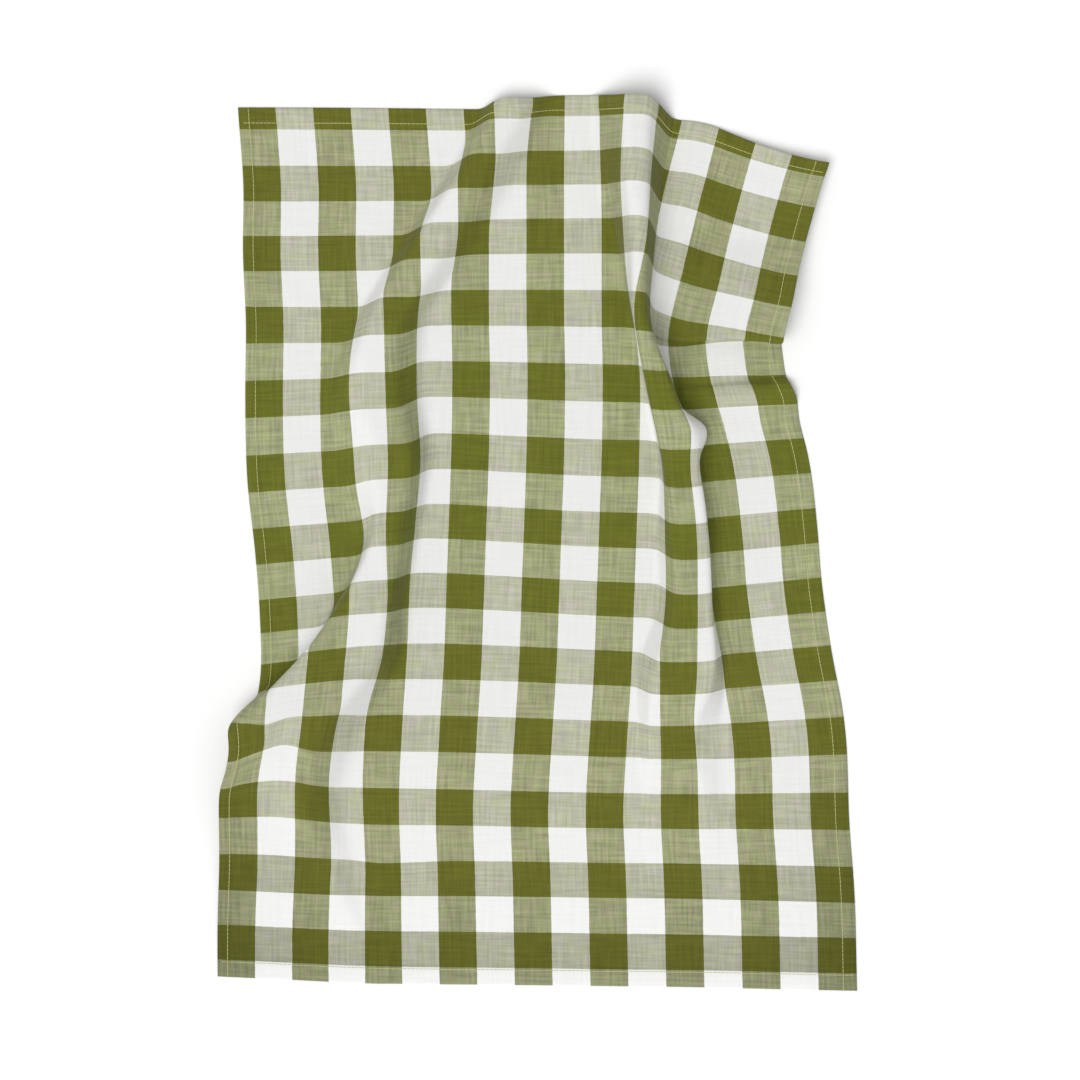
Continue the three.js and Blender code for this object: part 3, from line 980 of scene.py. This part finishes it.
def stitch_faces(count):
    """Quads round every stitch, and both its ends closed by two quads across the end ring."""
    shape = (count, len(STITCH_RINGS), STITCH_SIDES)
    index = np.arange(np.prod(shape)).reshape(shape)
    turned = np.roll(index, -1, axis=2)
    round_faces = quads(index[:, :-1], turned[:, :-1], turned[:, 1:], index[:, 1:])
    first, last = index[:, 0], index[:, -1]
    ends = [
        quads(first[:, 0], first[:, 3], first[:, 2], first[:, 1]),
        quads(first[:, 0], first[:, 5], first[:, 4], first[:, 3]),
        quads(last[:, 0], last[:, 1], last[:, 2], last[:, 3]),
        quads(last[:, 0], last[:, 3], last[:, 4], last[:, 5]),
    ]
    return np.concatenate((round_faces, *ends))


def stitching_piece(sizes):
    """All stitches of the four hems as one mesh, with the place along and round each in its UV map."""
    points = stitch_points(sizes)
    count = len(points)
    faces = stitch_faces(count)
    length, turn = np.meshgrid(
        STITCH_RINGS / 2 + 0.5, np.arange(STITCH_SIDES) / STITCH_SIDES, indexing="ij"
    )
    place = np.tile(np.stack((length, turn), -1).reshape(-1, 2), (count, 1))
    return new_mesh_object("hem_stitching", placed(points.reshape(-1, 3)), faces, place)


class TeaTowelAddCloth(bpy.types.Operator):
    """Adds the folded cloth with its woven check in place of the plain solid"""

    bl_idname = "tea_towel.add_cloth"
    bl_label = "Add Cloth"

    def execute(self, context):
        scene = context.scene
        cloth = cloth_piece(scene.tea_towel_sizes)
        material = gingham_material(scene.tea_towel_sizes, scene.tea_towel_colours)
        cloth.data.materials.append(material)
        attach(cloth, "root")
        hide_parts("towel")
        return {"FINISHED"}


class TeaTowelAddStitching(bpy.types.Operator):
    bl_idname = "tea_towel.add_stitching"
    bl_label = "Add Stitching"

    def execute(self, context):
        scene = context.scene
        stitching = stitching_piece(scene.tea_towel_sizes)
        stitching.data.materials.append(thread_material(scene.tea_towel_colours))
        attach(stitching, "root")
        return {"FINISHED"}


class TeaTowelAddStudio(bpy.types.Operator):
    """Adds the pale floor, the soft lights and the camera above"""

    bl_idname = "tea_towel.add_studio"
    bl_label = "Add Studio"

    def execute(self, context):
        scene = context.scene
        settings = scene.tea_towel_studio
        self.add_floor(settings)
        self.add_lights(scene, settings)
        self.add_camera(scene, settings)
        scene.view_settings.view_transform = "Standard"
        return {"FINISHED"}

    def add_floor(self, settings):
        """A flat square just under the cloth."""
        half = settings.floor_size / 2
        z = -FLOOR_DROP
        points = np.array([(-half, -half, z), (half, -half, z), (half, half, z), (-half, half, z)])
        faces = np.array([(0, 1, 2, 3)])
        floor = new_mesh_object("floor", points, faces, points[:, :2])
        floor.data.materials.append(floor_material(settings))

    def add_lights(self, scene, settings):
        """Even light from all round and one wide key from the near left."""
        world = bpy.data.worlds.new("studio_sky")
        world.use_nodes = True
        background = world.node_tree.nodes["Background"]
        background.inputs["Color"].default_value = (1, 1, 1, 1)
        background.inputs["Strength"].default_value = settings.sky_strength
        scene.world = world
        key = bpy.data.lights.new("key", "SUN")
        key.energy = settings.key_strength
        key.angle = settings.key_angle
        lamp = bpy.data.objects.new("key", key)
        lamp.rotation_euler = np.radians(KEY_TURN)
        scene.collection.objects.link(lamp)

    def add_camera(self, scene, settings):
        """A camera that looks straight down and sees the view's width of the table."""
        camera = bpy.data.cameras.new("overhead")
        camera.sensor_width = SENSOR_WIDTH
        camera.lens = SENSOR_WIDTH * settings.camera_height / settings.view_width
        camera.clip_end = CAMERA_REACH
        holder = bpy.data.objects.new("overhead", camera)
        holder.location = (*settings.view_centre, settings.camera_height)
        scene.collection.objects.link(holder)
        scene.camera = holder


class TeaTowelPanel(bpy.types.Panel):
    """Sizes, colours and pieces of the tea towel"""

    bl_idname = "VIEW3D_PT_tea_towel"
    bl_label = "Tea Towel"
    bl_space_type = "VIEW_3D"
    bl_region_type = "UI"
    bl_category = "Tea Towel"

    def draw(self, context):
        scene = context.scene
        groups = (scene.tea_towel_sizes, scene.tea_towel_colours, scene.tea_towel_studio)
        for group in groups:
            box = self.layout.box()
            for name in group.__annotations__:
                box.prop(group, name)
        for operator in OPERATORS:
            self.layout.operator(operator.bl_idname)


PROPERTY_GROUPS = {
    "tea_towel_sizes": ClothSizes,
    "tea_towel_colours": ClothColours,
    "tea_towel_studio": StudioSettings,
}
OPERATORS = (TeaTowelAddCloth, TeaTowelAddStitching, TeaTowelAddStudio)


def register():
    for name, group in PROPERTY_GROUPS.items():
        bpy.utils.register_class(group)
        setattr(bpy.types.Scene, name, bpy.props.PointerProperty(type=group))
    for operator in OPERATORS:
        bpy.utils.register_class(operator)
    bpy.utils.register_class(TeaTowelPanel)


def unregister():
    bpy.utils.unregister_class(TeaTowelPanel)
    for operator in reversed(OPERATORS):
        bpy.utils.unregister_class(operator)
    for name, group in PROPERTY_GROUPS.items():
        delattr(bpy.types.Scene, name)
        bpy.utils.unregister_class(group)


def main():
    register()
    bpy.ops.tea_towel.add_cloth()
    bpy.ops.tea_towel.add_stitching()
    bpy.ops.tea_towel.add_studio()


if __name__ == "__main__":
    main()
